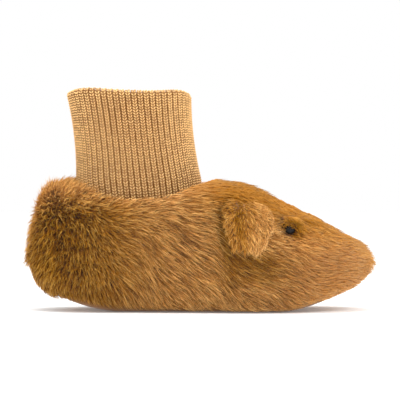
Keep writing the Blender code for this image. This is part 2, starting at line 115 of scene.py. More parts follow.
def sectionAt(along, pile=0.0, wall=0.0):
    along = np.clip(np.asarray(along, float), 0.0, 1.0)
    crestSize = blend(last["heel"], last["instep"], ease(along, 0.2, 0.5))
    tip = blend(last["heelTip"], last["toeTip"], ease(along, 0.0, 1.0))
    width = blend(last["heelWidth"], last["ballWidth"], ease(along, 0.25, 0.65))
    crest = blend(tip, crestSize, readRows(lastRows, 1, along))
    under = tip * readRows(lastRows, 2, along)
    tall = drawnIn((crest - under) / 2, pile / 2)
    middle = under + tall
    tall = drawnIn(tall, wall)
    half = drawnIn(drawnIn(width / 2 * readRows(lastRows, 3, along), pile), wall)
    belly = middle - tall + 2 * tall * readRows(lastRows, 4, along)
    full = np.sin(np.arccos(1 - 2 * along))
    crestFull = blend(last["collarFullness"], last["toeFullness"], ease(along, 0.4, 0.72))
    return {
        "x": (last["length"] - pile - 2 * wall) * (along - 0.5),
        "y": last["swing"] * readRows(lastRows, 5, along),
        "half": half, "belly": belly, "up": middle + tall - belly, "down": belly - middle + tall,
        "crestPower": 2 / (2 + (crestFull - 2) * full),
        "underPower": 2 / (2 + (last["underFullness"] - 2) * full),
    }


def onLast(along, turn, pile=0.0, wall=0.0):
    # turn is 0 on the crest and positive to the outer side, in radians, and pile is a depth below the fur
    cut = sectionAt(along, pile, wall)
    across, rise = np.sin(turn), np.cos(turn)
    power = np.where(rise >= 0, cut["crestPower"], cut["underPower"])
    tall = np.where(rise >= 0, cut["up"], cut["down"])
    y = cut["y"] - cut["half"] * np.sign(across) * np.abs(across) ** power
    z = cut["belly"] + tall * np.sign(rise) * np.abs(rise) ** power
    x = cut["x"] + 0 * y
    return np.stack([x, y, z], axis=-1) + shift


def unit(vectors):
    return vectors / (np.linalg.norm(vectors, axis=-1, keepdims=True) + 1e-12)


def skinFrame(along, turn, pile=0.0):
    # point, toe-ward tangent, tangent round the section, outward normal
    small, turnStep = 0.002, 0.02
    point = onLast(along, turn, pile)
    along = np.clip(along, small, 1 - small)
    forward = (onLast(along + small, turn, pile) - onLast(along - small, turn, pile)) / (2 * small)
    roundIt = (onLast(along, turn + turnStep, pile) - onLast(along, turn - turnStep, pile)) / (2 * turnStep)
    return point, forward, roundIt, unit(np.cross(roundIt, forward))


solePlace = {"inset": 0.009, "thick": 0.0032, "edge": 0.0014, "drop": 0.0024, "arch": 0.0035, "fleece": 0.003}
eyePlace = {"along": 0.754, "turn": 51.5, "diameter": 0.0062, "cut": 0.1,
            "roughness": 0.14, "coat": 0.05, "specular": 0.09}
# where the solids lie from the last's own middle
shift = np.zeros(3)
soleLow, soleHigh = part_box("sole")
eyeMiddles = [(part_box(side)[0][1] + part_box(side)[1][1]) / 2 for side in ("eye_right", "eye_left")]
shift[0] = (soleLow[0] + soleHigh[0]) / 2
shift[1] = sum(eyeMiddles) / 2 - float(sectionAt(eyePlace["along"], last["pile"])["y"])
print("last placed, shifted by", [round(float(v) * 1000, 3) for v in shift], "mm")


# node maths: a wire is one output socket, and sums on it add the nodes

class Wire:
    def __init__(self, sheet, socket):
        self.sheet, self.socket = sheet, socket

    def sum(self, operation, other, flip=False):
        pair = (other, self) if flip else (self, other)
        return self.sheet.add("ShaderNodeMath", {"operation": operation}, {0: pair[0], 1: pair[1]})

    def __add__(self, other): return self.sum("ADD", other)
    def __radd__(self, other): return self.sum("ADD", other, True)
    def __sub__(self, other): return self.sum("SUBTRACT", other)
    def __rsub__(self, other): return self.sum("SUBTRACT", other, True)
    def __mul__(self, other): return self.sum("MULTIPLY", other)
    def __rmul__(self, other): return self.sum("MULTIPLY", other, True)
    def __truediv__(self, other): return self.sum("DIVIDE", other)
    def __rtruediv__(self, other): return self.sum("DIVIDE", other, True)
    def __pow__(self, other): return self.sum("POWER", other)


class NodeSheet:
    def __init__(self, tree):
        self.tree = tree

    def add(self, kind, settings=None, links=None, out=0):
        # settings are set first, then the sockets get their values or links
        made = self.tree.nodes.new(kind)
        for name, value in (settings or {}).items():
            if name == "stops":
                while len(made.color_ramp.elements) < len(value):
                    made.color_ramp.elements.new(0.5)
                for element, (place, colour) in zip(made.color_ramp.elements, value):
                    element.position, element.color = place, (*colour, 1.0)
            else:
                setattr(made, name, value)
        for name, value in (links or {}).items():
            self.join(value, made.inputs[name])
        return Wire(self, made.outputs[out])

    def join(self, value, socket):
        if isinstance(value, Wire):
            self.tree.links.new(value.socket, socket)
        else:
            socket.default_value = value

    def noise(self, scale, detail=2.0, roughness=0.5):
        place = self.add("ShaderNodeTexCoord", out=3)
        return self.add("ShaderNodeTexNoise", {}, {"Vector": place, "Scale": scale, "Detail": detail,
                                                   "Roughness": roughness})

    def painted(self, name):
        # in a material, a value that the mesh carries
        return self.add("ShaderNodeAttribute", {"attribute_name": name}, out=2)

    def named(self, name, kind="FLOAT"):
        # in a geometry tree, a value that the bed carries
        return self.add("GeometryNodeInputNamedAttribute", {"data_type": kind}, {"Name": name})

    def stored(self, geometry, name, value, kind="FLOAT"):
        return self.add("GeometryNodeStoreNamedAttribute", {"data_type": kind, "domain": "POINT"},
                        {"Geometry": geometry, "Name": name, "Value": value})

    def chance(self, low, high, seed, **more):
        return self.add("FunctionNodeRandomValue", {"data_type": "FLOAT"},
                        {2: low, 3: high, "Seed": seed, **more}, out=1)

    def vector(self, operation, first, second=None, scale=None, out=0):
        links = {0: first}
        if second is not None:
            links[1] = second
        if scale is not None:
            links["Scale"] = scale
        return self.add("ShaderNodeVectorMath", {"operation": operation}, links, out=out)


def linear(*colour):
    # a colour read off a picture, from 0 to 255, as the renderer's linear value
    return tuple((c / 255 / 12.92) if c <= 10 else ((c / 255 + 0.055) / 1.055) ** 2.4 for c in colour)


def finish(name, **constants):
    made = bpy.data.materials.new(name)
    made.use_nodes = True
    shader = made.node_tree.nodes["Principled BSDF"]
    for socket, value in constants.items():
        shader.inputs[socket.replace("_", " ")].default_value = value
    return made, NodeSheet(made.node_tree), shader


def mixColour(sheet, factor, first, second):
    return sheet.add("ShaderNodeMix", {"data_type": "RGBA", "blend_type": "MIX", "clamp_factor": True},
                     {0: factor, 6: (*first, 1.0), 7: (*second, 1.0)}, out=2)


# making objects

def addObject(name, mesh):
    made = bpy.data.objects.new(name, mesh)
    bpy.context.scene.collection.objects.link(made)
    return made


def meshOf(name, points, faces):
    mesh = bpy.data.meshes.new(name)
    mesh.from_pydata([tuple(map(float, p)) for p in points], [], faces)
    mesh.validate()
    mesh.shade_smooth()
    return mesh


def carry(mesh, label, values, kind="FLOAT"):
    made = mesh.attributes.new(label, kind, "POINT")
    made.data.foreach_set("value" if kind == "FLOAT" else "vector", np.asarray(values, np.float32).ravel())


def faceOutward(mesh):
    # joins points that coincide and turns every face outward
    shape = bmesh.new()
    shape.from_mesh(mesh)
    bmesh.ops.remove_doubles(shape, verts=shape.verts, dist=1e-6)
    bmesh.ops.recalc_face_normals(shape, faces=shape.faces)
    shape.to_mesh(mesh)
    shape.free()
    mesh.shade_smooth()


def loftFaces(sizes):
    # faces through rings of points, where a ring of one point is a pole and a wide end ring gets a lid
    faces, starts = [], [sum(sizes[:i]) for i in range(len(sizes))]
    for (a, n), (b, m) in zip(zip(starts, sizes), zip(starts[1:], sizes[1:])):
        for i in range(max(n, m)):
            j = (i + 1) % max(n, m)
            if n == 1:
                faces.append((a, b + i, b + j))
            elif m == 1:
                faces.append((a + i, b, a + j))
            else:
                faces.append((a + i, b + i, b + j, a + j))
    for a, n in ((starts[0], sizes[0]), (starts[-1], sizes[-1])):
        if n > 2:
            faces.append(tuple(range(a, a + n)))
    return faces


def lofted(name, rings):
    points = [point for ring in rings for point in ring]
    mesh = meshOf(name, points, loftFaces([len(ring) for ring in rings]))
    faceOutward(mesh)
    return addObject(name, mesh)


def workedMesh(piece):
    # the shape with its modifiers worked in, as a plain mesh
    graph = bpy.context.evaluated_depsgraph_get()
    return bpy.data.meshes.new_from_object(piece.evaluated_get(graph), preserve_all_data_layers=True,
                                           depsgraph=graph)


def geometryTree(name, inputs):
    tree = bpy.data.node_groups.new(name, "GeometryNodeTree")
    tree.interface.new_socket("Geometry", in_out="INPUT", socket_type="NodeSocketGeometry")
    tree.interface.new_socket("Geometry", in_out="OUTPUT", socket_type="NodeSocketGeometry")
    for label, kind in inputs:
        tree.interface.new_socket(label, in_out="INPUT", socket_type="NodeSocket" + kind)
    sheet = NodeSheet(tree)
    source = tree.nodes.new("NodeGroupInput")
    return sheet, {socket.name: Wire(sheet, socket) for socket in source.outputs if socket.name}


def endTree(sheet, copies, spares, material):
    # makes the copies real, drops what only the bed needs and gives the finish
    real = sheet.add("GeometryNodeRealizeInstances", {}, {0: copies})
    for spare in spares:
        real = sheet.add("GeometryNodeRemoveAttribute", {}, {"Geometry": real, "Name": spare})
    done = sheet.add("GeometryNodeSetMaterial", {}, {"Geometry": real, "Material": material})
    sheet.join(done, sheet.tree.nodes.new("NodeGroupOutput").inputs[0])
    return sheet.tree


def grow(name, base, tree, values):
    # runs a tree on a bed mesh and keeps what grows on it, without the bed
    change = base.modifiers.new("grow", "NODES")
    change.node_group = tree
    for item in tree.interface.items_tree:
        if item.item_type == "SOCKET" and item.in_out == "INPUT" and item.name in values:
            change[item.identifier] = values[item.name]
    mesh = workedMesh(base)
    piece = addObject(name, mesh)
    old = base.data
    bpy.data.objects.remove(base)
    bpy.data.meshes.remove(old)
    mesh.shade_smooth()
    print(name, "has", sum(len(p.vertices) - 2 for p in mesh.polygons), "triangles")
    return piece


# finishes

furLook = {
    "root": linear(102, 55, 13), "body": linear(199, 135, 55), "tip": linear(238, 190, 111),
    "patchScale": 95.0, "roughness": 0.7, "sheen": 0.08,
    "ownTone": 0.75, "lockTone": 0.22, "patchTone": 0.36, "light": 1.05, "ownLight": 0.50,
}


def furMaterial(name, lift=1.0):
    # each hair is dark at its root and light at its tip, with its own tone and its lock's tone
    made, sheet, shader = finish(name, Roughness=furLook["roughness"], Sheen_Weight=furLook["sheen"],
                                 Sheen_Roughness=0.4, Specular_IOR_Level=0.22)
    alongHair, tone, lockTone, shade, lively = (
        sheet.painted(label) for label in ("alongHair", "tone", "lockTone", "shade", "lively"))
    patch = sheet.noise(furLook["patchScale"])
    mixed = (tone - 0.5) * furLook["ownTone"] + (lockTone - 0.5) * furLook["lockTone"]
    ramp = sheet.add("ShaderNodeValToRGB", {"stops": (
        (0.0, furLook["root"]), (0.45, furLook["body"]), (1.0, furLook["tip"]))},
        {0: alongHair * (0.2 + lively * 0.35) + mixed * lively
            + (patch - 0.5) * lively * furLook["patchTone"] + (0.38 - lively * 0.18)})
    # the bed's shade is painted light and shade that scales each hair's colour; where it is darker the fur is
    # deeper and a little redder
    value = (shade * (furLook["light"] + (tone - 0.5) * lively * furLook["ownLight"])) * lift
    shaded = sheet.add("ShaderNodeHueSaturation", {}, {"Value": value, "Color": ramp,
                                                       "Saturation": 1.30 - shade * 0.31,
                                                       "Hue": 0.492 + shade * 0.008})
    sheet.join(shaded, shader.inputs["Base Color"])
    return made


def clothMaterial(name, colour, dark, scale, bump, roughness):
    made, sheet, shader = finish(name, Roughness=roughness, Sheen_Weight=0.3, Sheen_Roughness=0.5,
                                 Specular_IOR_Level=0.25)
    fine, broad = sheet.noise(scale, 5.0, 0.65), sheet.noise(scale * 0.06)
    sheet.join(mixColour(sheet, fine * 0.6 + broad * 0.6 - 0.1, dark, colour), shader.inputs["Base Color"])
    sheet.join(sheet.add("ShaderNodeBump", {}, {"Strength": bump, "Distance": 0.0006, "Height": fine}),
               shader.inputs["Normal"])
    return made


# depth weighs the painted light on the loops' relief; shade is painted low on the cuff, fading out between the
# heights shadeFrom and shadeTo
yarnLook = {"depth": 0.88, "tone": 0.62, "fuzz": 0.30, "broad": 0.2, "base": -0.30,
            "shadeFrom": 0.045, "shadeTo": 0.072, "shade": 0.80}


def knitMaterial(name, light, dark):
    # wool yarn: painted light where a loop stands out, each loop with its own tone, fuzzy, with painted shade
    # near the fur
    made, sheet, shader = finish(name, Roughness=0.82, Sheen_Weight=0.1, Sheen_Roughness=0.45,
                                 Specular_IOR_Level=0.2)
    fuzz, broad = sheet.noise(2600.0, 3.0, 0.7), sheet.noise(60.0)
    factor = (sheet.painted("raised") * yarnLook["depth"] + sheet.painted("tone") * yarnLook["tone"]
              + fuzz * yarnLook["fuzz"] + broad * yarnLook["broad"] + yarnLook["base"])
    place = sheet.add("ShaderNodeTexCoord", out=3)
    height = sheet.add("ShaderNodeSeparateXYZ", {}, {0: place}, out=2)
    rise = sheet.add("ShaderNodeMapRange", {}, {
        "Value": height, "From Min": yarnLook["shadeFrom"], "From Max": yarnLook["shadeTo"],
        "To Min": yarnLook["shade"], "To Max": 1.0})
    sheet.join(sheet.add("ShaderNodeHueSaturation", {}, {
        "Value": rise, "Color": mixColour(sheet, factor, dark, light)}), shader.inputs["Base Color"])
    sheet.join(sheet.add("ShaderNodeBump", {}, {"Strength": 0.6, "Distance": 0.0002, "Height": fuzz}),
               shader.inputs["Normal"])
    return made


furFinish = furMaterial("plushFur")
earFinish = furMaterial("earFur", 1.06)
skinFinish = clothMaterial("plushBacking", linear(150, 98, 48), linear(92, 54, 20), 900.0, 0.7, 0.9)
liningFinish = clothMaterial("fleeceLining", linear(196, 158, 112), linear(150, 112, 70), 700.0, 0.9, 0.95)
suedeFinish = clothMaterial("soleSuede", linear(168, 122, 76), linear(126, 86, 50), 1400.0, 0.5, 0.88)
yarnFinish = knitMaterial("cuffYarn", linear(250, 203, 135), linear(146, 95, 48))
# the grooves' yarn is a darker copy of the cuff's yarn: painted shade
shadedGrooveFinish = knitMaterial("cuffGroove", linear(200, 149, 87), linear(138, 91, 46))


# the collar's place

cuff = {
    "top": 0.0942, "length": 0.0536, "back": 0.0210, "lean": 0.0043, "wall": 0.0030, "tuck": 0.008,
    "sideClearance": 0.0022, "ribs": 60, "wave": 0.0009, "ribDepth": 0.0008, "waist": 0.045,
    "squareness": 2.6, "endDip": 0.0004,
    "courses": 43, "rollCourses": 4, "insideCourses": 5, "loopsFrom": 0.002,
    "loopWidth": 0.74, "loopHeight": 1.02, "loopDepth": 0.0012,  # in ribs, in courses, in metres
}


def cuffMiddle(z):
    # the cuff leans back as it rises
    baseX = -last["length"] / 2 + cuff["back"] + cuff["length"] / 2
    rise = (z - last["heel"]) / (cuff["top"] - last["heel"])
    return baseX - cuff["lean"] * rise, sectionAt(0.5 + baseX / last["length"])["y"]


baseAlong = 0.5 + cuffMiddle(last["heel"])[0] / last["length"]
cuffHalf = float(sectionAt(baseAlong, last["pile"], last["wall"])["half"]) - cuff["sideClearance"]


def cuffHalves(z):
    rise = np.clip((z - last["heel"]) / (cuff["top"] - last["heel"]), 0.0, 1.0)
    waist = 1 - cuff["waist"] * 4 * rise * (1 - rise)
    return cuff["length"] / 2 * waist, cuffHalf * waist


def cuffPoint(angle, z, inset=0.0):
    x, y = cuffMiddle(z)
    longHalf, wideHalf = cuffHalves(z)
    power = 2 / cuff["squareness"]
    across, side = np.cos(angle), np.sin(angle)
    return np.stack([x + (longHalf - inset) * np.sign(across) * np.abs(across) ** power,
                     y + (wideHalf - inset) * np.sign(side) * np.abs(side) ** power,
                     z + 0 * angle], axis=-1) + shift


def fromCuff(points):
    # how far points lie from the cuff's middle: 1 on the outside of the knit
    x, y = cuffMiddle(points[..., 2])
    longHalf, wideHalf = cuffHalves(points[..., 2])
    n = cuff["squareness"]
    return (np.abs((points[..., 0] - shift[0] - x) / longHalf) ** n
            + np.abs((points[..., 1] - shift[1] - y) / wideHalf) ** n) ** (1 / n)


def evenAngles(count):
    # angles that lie evenly along the cuff's outline
    fine = np.linspace(0, 2 * math.pi, 1441)
    outline = cuffPoint(fine, last["heel"] + 0 * fine)
    run = np.concatenate([[0], np.cumsum(np.linalg.norm(np.diff(outline, axis=0), axis=1))])
    return np.interp(run[-1] * np.arange(count) / count, run, fine), float(run[-1])


def crestHeight(x, y, pile):
    # how high the last is over a place in plan
    cut = sectionAt(0.5 + x / last["length"], pile)
    share = np.minimum(np.abs(y - cut["y"]) / cut["half"], 0.999)
    power = cut["crestPower"]
    return cut["belly"] + cut["up"] * (1 - share ** (2 / power)) ** (power / 2)


def cuffBase(angle):
    edge = cuffPoint(angle, last["heel"] + 0 * angle) - shift
    return crestHeight(edge[..., 0], edge[..., 1], last["pile"]) - cuff["tuck"]


def cuffTop(angle):
    # the rim rises and falls a little and dips at its two ends
    wave = cuff["wave"] * (0.6 * np.cos(angle + 2.6) + 0.5 * np.cos(4 * angle + 2.44))
    return cuff["top"] + wave - cuff["endDip"] * np.cos(angle) ** 12


# upper: the shell under the fur, with its lining

def closedLast(name, stations, count, pile, wall):
    rings = []
    for i in range(stations + 1):
        along = (1 - math.cos(math.pi * i / stations)) / 2
        turns = np.array([0.0]) if i in (0, stations) else np.linspace(0, 2 * math.pi, count, endpoint=False)
        rings.append(onLast(along, turns, pile, wall))
    return lofted(name, rings)


def archHollow(along):
    # how far the sole is hollowed on its inner side
    return solePlace["arch"] * ease(along, 0.18, 0.42) * (1 - ease(along, 0.42, 0.66))


def planOutline(inset, count):
    angles = 2 * math.pi * np.arange(count) / count
    along = (1 - np.cos(angles)) / 2
    cut = sectionAt(along)
    side = np.where(np.sin(angles) >= 0, 1, -1)
    half = drawnIn(cut["half"], inset) - np.where(side > 0, archHollow(along), 0.0)
    return np.stack([(last["length"] - 2 * inset) * (along - 0.5), cut["y"] + side * half], axis=-1)


def overSole(points):
    # true where points lie over or under the sole
    x, y = points[..., 0] - shift[0], points[..., 1] - shift[1]
    along = 0.5 + x / (last["length"] - 2 * solePlace["inset"])
    cut = sectionAt(along)
    half = drawnIn(cut["half"], solePlace["inset"]) - np.where(y > 0, archHollow(along), 0.0) - 0.0012
    return (along > 0.01) & (along < 0.99) & (np.abs(y - cut["y"]) < half)


def soleLift(x):
    # how high the sole turns up at the heel and the toe
    end = last["length"] / 2 - solePlace["inset"]
    cut = sectionAt(0.5 + x / last["length"])
    return np.maximum(0.0, cut["belly"] - cut["down"] - solePlace["drop"] * (1 - (x / end) ** 4))


def cutAway(target, tool):
    change = target.modifiers.new("cut", "BOOLEAN")
    change.operation, change.object, change.solver = "DIFFERENCE", tool, "EXACT"


shell = {"skinDepth": 0.0030, "soleRoom": 0.009, "count": 96}


def makeUpper():
    upper = closedLast("upperShell", 72, 80, shell["skinDepth"], 0.0)
    room = closedLast("footRoom", 56, 64, last["pile"], last["wall"])
    count = shell["count"]
    outline = planOutline(solePlace["inset"] - last["gap"], count)
    lift = soleLift(outline[:, 0]) + shell["soleRoom"]
    low = np.column_stack([outline, np.full(count, -0.02)]) + shift
    high = np.column_stack([outline, lift]) + shift
    under = lofted("underCut", [low, high, np.array([[0, 0, shell["soleRoom"]]]) + shift])
    angles = np.linspace(0, 2 * math.pi, count, endpoint=False)
    base = cuffBase(angles) - last["gap"]
    rings = [cuffPoint(angles, blend(base, cuff["top"], part), -last["gap"]) for part in (0.0, 0.5, 1.0)]
    collar = lofted("collarCut", [rings[0].mean(axis=0)[None], *rings, rings[2].mean(axis=0)[None]])
    for tool in (room, under, collar):
        cutAway(upper, tool)
    mesh = workedMesh(upper)
    upper.modifiers.clear()
    upper.data = mesh
    for tool in (room, under, collar):
        bpy.data.objects.remove(tool)
    mesh.materials.clear()
    mesh.materials.append(skinFinish)
    mesh.materials.append(liningFinish)
    # a face that looks at the middle of the foot's room is lining
    for face in mesh.polygons:
        x = face.center.x - shift[0]
        cut = sectionAt(min(max(0.5 + x / last["length"], 0.02), 0.98))
        out = Vector((0.0, face.center.y - shift[1] - float(cut["y"]), face.center.z - float(cut["belly"])))
        end = abs(x) - last["length"] / 2 + 0.012
        if end > 0:
            out += Vector((math.copysign(end * 4, x), 0.0, 0.0))
        face.material_index = 1 if face.normal.dot(out) < 0 else 0
    mesh.shade_smooth()
    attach(upper, "root")
    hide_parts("upper")
    print("upper shell made")


# fur: a bed with the lie of the hair on it, and a tree that grows locks from the bed

furLie = np.array([
    # along, degrees below the toe's direction on the crest, near the sole, length, stand, shade on the
    # crest, shade on the side
    (0.00, 60.0, 112.0, 0.0036, 0.0037, 0.96, 0.60),
    (0.10, 26.0, 88.0, 0.0040, 0.0038, 1.00, 0.58),
    (0.20, 8.0, 64.0, 0.0050, 0.0037, 1.06, 0.68),
    (0.34, 5.0, 44.0, 0.0080, 0.0034, 1.14, 0.96),
    (0.56, 5.0, 36.0, 0.0092, 0.0030, 0.82, 1.02),
    (0.72, 3.0, 22.0, 0.0086, 0.0029, 0.84, 1.03),
    (0.86, 2.0, 10.0, 0.0076, 0.0026, 0.92, 1.09),
    (0.95, 1.0, 10.0, 0.0062, 0.0036, 0.96, 1.08),
    (1.00, 0.0, 6.0, 0.0050, 0.0018, 0.98, 1.06),
])

# soft folds of the plush: place along, turn in degrees, height, how wide along and round
creaseRows = (
    (0.555, 64.0, -0.0012, 0.018, 0.36), (0.470, 78.0, 0.0006, 0.040, 0.40),
    (0.330, 96.0, -0.0006, 0.045, 0.25), (0.240, 62.0, 0.0007, 0.050, 0.22),
    (0.130, 84.0, -0.0007, 0.035, 0.30), (0.070, 60.0, 0.0005, 0.025, 0.30),
    (0.700, 108.0, -0.0005, 0.060, 0.16), (0.795, 74.0, 0.0004, 0.035, 0.22),
    (0.420, 112.0, 0.0005, 0.070, 0.14),
)

# how far above the sole's underside the hem's hairs end
hemLift = np.array([
    (0.00, 0.0004), (0.12, 0.0007), (0.18, 0.0011), (0.26, 0.0009), (0.38, 0.0006), (0.50, 0.0003),
    (0.68, 0.0004), (0.74, 0.0008), (0.81, 0.0010), (0.88, 0.0005), (1.00, 0.0004),
])

fur = {
    "bedDepth": 0.0031, "bedRows": 44, "bedColumns": 160,  # the roots' depth below the outline, and their grid
    "regions": (("furHeel", 0.0, 0.26), ("furWaist", 0.26, 0.48), ("furInstep", 0.48, 0.68),
                ("furToe", 0.68, 1.0)),
    "Top": {"Hairs": 11000, "Lock Gap": 0.0011, "Pull": 0.45, "Width": 0.00029, "Stray": 0.0016,
            "Short": 0.62, "Long": 1.15},
    "Under": {"Hairs": 14500, "Lock Gap": 0.0026, "Pull": 0.45, "Width": 0.00042, "Stray": 0.0010,
              "Short": 0.45, "Long": 0.80},
    "heel": {"Hairs": 1.2, "Pull": 0.6, "Width": 0.86},  # the heel's hair has this share of those
    "thick": 0.020, "bends": ((0.10, 0.9), (0.16, -0.8), (0.06, 0.3), (0.13, -1.6)),  # hump and curl
    "collarReach": 1.25, "collarTrim": 0.1, "collarPaintedLight": 0.12,  # reach in widths of the cuff
    "hemFrom": 96.0, "hemTo": 128.0, "hemRoom": 0.0070, "hemFlat": 0.35, "hemPaintedLight": 0.16,
    "foreheadAlong": 0.685, "foreheadReach": 0.07, "foreheadFlat": 0.62, "toeTrim": 0.15,
    "calm": 0.75, "heelMix": 0.35, "heelWild": 1.6, "hemTame": 0.8, "tame": 0.45,  # mixed tones, stray hairs
    "floorGap": 0.0003, "shortest": 0.0008,
}
# the hair round an eye, as shares of what grows there but for the brow's lift and stand in metres
eyeFur = {
    "browLift": 0.0038, "browStand": 0.0008, "browKeep": 3.2, "behindThin": 0.95, "behindShort": 0.80,
    "nearFlat": 0.45, "partingThin": 0.75, "partingShort": 0.5, "partingPaintedShade": 0.82, "streakPaintedShade": 0.25,
    "rimPaintedShade": 0.40, "paleLight": 0.5,
}
ear = {
    "along": 0.634, "root": 40.0, "tip": 80.0, "width": 0.0184, "thick": 0.0046, "standOff": 0.0028,
    "fold": 0.0011, "foldAt": -0.42, "gap": 0.0003, "reach": 0.985,
    "Top": {"Hairs": 2700, "Lock Gap": 0.0015, "Pull": 0.45, "Width": 0.00034, "Stray": 0.0009,
            "Short": 0.6, "Long": 1.1},
    "Under": {"Hairs": 2400, "Lock Gap": 0.0015, "Pull": 0.45, "Width": 0.0004, "Stray": 0.0006,
              "Short": 0.45, "Long": 0.8},
    "hairLength": 0.0048, "tipLength": 0.0034, "hairStand": 0.0021, "wild": 1.9, "lively": 0.75,
    "rootStand": 0.0022, "beneathStand": 0.0017, "shadow": 0.60,  # what it does to the head's fur
}


def strandMeshes(places, name):
    # hairs along local Y with a three-sided section, bent when they have a middle ring
    made = []
    for number, (hump, curl) in enumerate(fur["bends"]):
        points = []
        for place, width in places:
            rise = hump * 4 * place * (1 - place)
            side = curl * math.sin(math.pi * place)
            thick = fur["thick"] * width
            points += [(side - width / 2, place, rise - thick), (side + width / 2, place, rise - thick),
                       (side, place, rise + thick)]
        points.append((-0.4 * curl, 1.0, 0.0))
        mesh = meshOf("%s%d" % (name, number), points, loftFaces([3] * len(places) + [1]))
        carry(mesh, "alongHair", [place for place, _ in places for _ in range(3)] + [1.0])
        faceOutward(mesh)
        made.append(addObject(mesh.name, mesh))
    return made


def furTree(strands, name):
    sheet, given = geometryTree(name, (
        ("Density", "Float"), ("Lock Gap", "Float"), ("Pull", "Float"), ("Width", "Float"), ("Stray", "Float"),
        ("Short", "Float"), ("Long", "Float"), ("Seed", "Int"), ("Finish", "Material")))
    seed = given["Seed"]
    scatter = sheet.add("GeometryNodeDistributePointsOnFaces", {"distribute_method": "RANDOM"}, {
        "Mesh": given["Geometry"], "Density": given["Density"] * sheet.named("keep"), "Seed": seed})
    skinNormal = Wire(sheet, scatter.socket.node.outputs["Normal"])
    middles = sheet.add("GeometryNodeDistributePointsOnFaces", {"distribute_method": "POISSON"}, {
        "Mesh": given["Geometry"], "Distance Min": given["Lock Gap"], "Density Max": 2.0e6, "Seed": seed + 5})
    lockNormal = Wire(sheet, middles.socket.node.outputs["Normal"])
    place = sheet.add("GeometryNodeInputPosition")
    lie = sheet.vector("NORMALIZE", sheet.named("lie", "FLOAT_VECTOR"))
    length, stand = sheet.named("hairLength"), sheet.named("stand")

    def tipOver(normal):
        flat = sheet.vector("SCALE", lie, scale=length)
        risen = sheet.vector("SCALE", normal, scale=stand)
        return sheet.vector("ADD", sheet.vector("ADD", place, flat), risen)

    # each hair's tip is pulled part of the way to the tip of its lock
    lockTips = sheet.stored(middles, "lockTip", tipOver(lockNormal), "FLOAT_VECTOR")
    nearest = sheet.add("GeometryNodeSampleNearest", {"domain": "POINT"},
                        {"Geometry": lockTips, "Sample Position": place})
    lockTip = sheet.add("GeometryNodeSampleIndex", {"data_type": "FLOAT_VECTOR", "domain": "POINT"}, {
        "Geometry": lockTips, "Value": sheet.named("lockTip", "FLOAT_VECTOR"), "Index": nearest})
    reach = sheet.add("FunctionNodeRandomValue", {"data_type": "FLOAT_VECTOR"},
                      {0: (-1.0, -1.0, -1.0), 1: (1.0, 1.0, 1.0), "Seed": seed + 9})
    strayed = sheet.vector("SCALE", reach, scale=given["Stray"] * sheet.named("wild"))
    ownTip = sheet.vector("ADD", tipOver(skinNormal), strayed)
    tip = sheet.add("ShaderNodeMix", {"data_type": "VECTOR", "clamp_factor": True},
                    {0: given["Pull"], 4: ownTip, 5: lockTip}, out=1)
    heading = sheet.vector("SUBTRACT", tip, place)
    run = sheet.vector("LENGTH", heading, out=1) * sheet.chance(given["Short"], given["Long"], seed + 2)
    turned = sheet.add("FunctionNodeAxesToRotation", {"primary_axis": "Y", "secondary_axis": "Z"},
                       {0: heading, 1: skinNormal})
    size = sheet.add("ShaderNodeCombineXYZ", {}, {
        0: given["Width"] * sheet.chance(0.7, 1.25, seed + 3), 1: run, 2: run})
    kinds = sheet.add("GeometryNodeJoinGeometry")
    for strand in strands:
        one = sheet.add("GeometryNodeObjectInfo", {}, {"Object": strand}, out=4)
        single = sheet.add("GeometryNodeGeometryToInstance", {}, {0: one})
        sheet.join(single, kinds.socket.node.inputs[0])
    which = sheet.add("FunctionNodeRandomValue", {"data_type": "INT"},
                      {4: 0, 5: len(strands) - 1, "Seed": seed + 4}, out=2)
    # the lock's tone is stored on the points, where the nearest lock is known
    toned = sheet.stored(scatter, "lockTone", sheet.chance(0.0, 1.0, seed + 7, ID=nearest))
    toned = sheet.stored(toned, "tone", sheet.chance(0.0, 1.0, seed + 6))
    hairs = sheet.add("GeometryNodeInstanceOnPoints", {}, {
        "Points": toned, "Instance": kinds, "Pick Instance": True, "Instance Index": which,
        "Rotation": turned, "Scale": size})
    return endTree(sheet, hairs, ("lie", "hairLength", "stand", "keep", "wild", "lockTip"), given["Finish"])


def bedMesh(name, points, faces, fields):
    # fields are arrays of numbers or of vectors, one for each point
    points = points.reshape(-1, 3)
    mesh = meshOf(name, points, faces)
    for label, values in fields.items():
        carry(mesh, label, values, "FLOAT_VECTOR" if values.size == points.size else "FLOAT")
    return addObject(name, mesh)


def gridFaces(rows, columns, wanted, flip=False):
    # quads of a grid of points whose four corners are all wanted
    faces = []
    for i in range(rows - 1):
        for j in range(columns - 1):
            here, after = i * columns + j, (i + 1) * columns + j
            corners = (here, after, after + 1, here + 1)
            if all(wanted[c] for c in corners):
                faces.append(corners[::-1] if flip else corners)
    return faces


def areaOf(mesh):
    return sum(face.area for face in mesh.polygons)


def growCoat(name, points, faces, fields, trees, layers, shared):
    # a bed for each layer, and the hair that grows on it
    for layer, values in layers.items():
        bed = bedMesh(name + "Bed", points, faces, fields)
        piece = grow(name + layer, bed, trees[layer], {
            "Density": values["Hairs"] / areaOf(bed.data), **values, **shared})
        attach(piece, "root")


def creases(along, turn):
    return sum(height * hill((along, place, wide), (np.abs(turn), math.radians(degrees), reach))
               for place, degrees, height, wide, reach in creaseRows)


def alongSkin(direction, normal):
    # a direction laid flat on the skin
    direction = np.array(direction)
    return unit(direction - normal * (normal * direction).sum(axis=-1, keepdims=True))


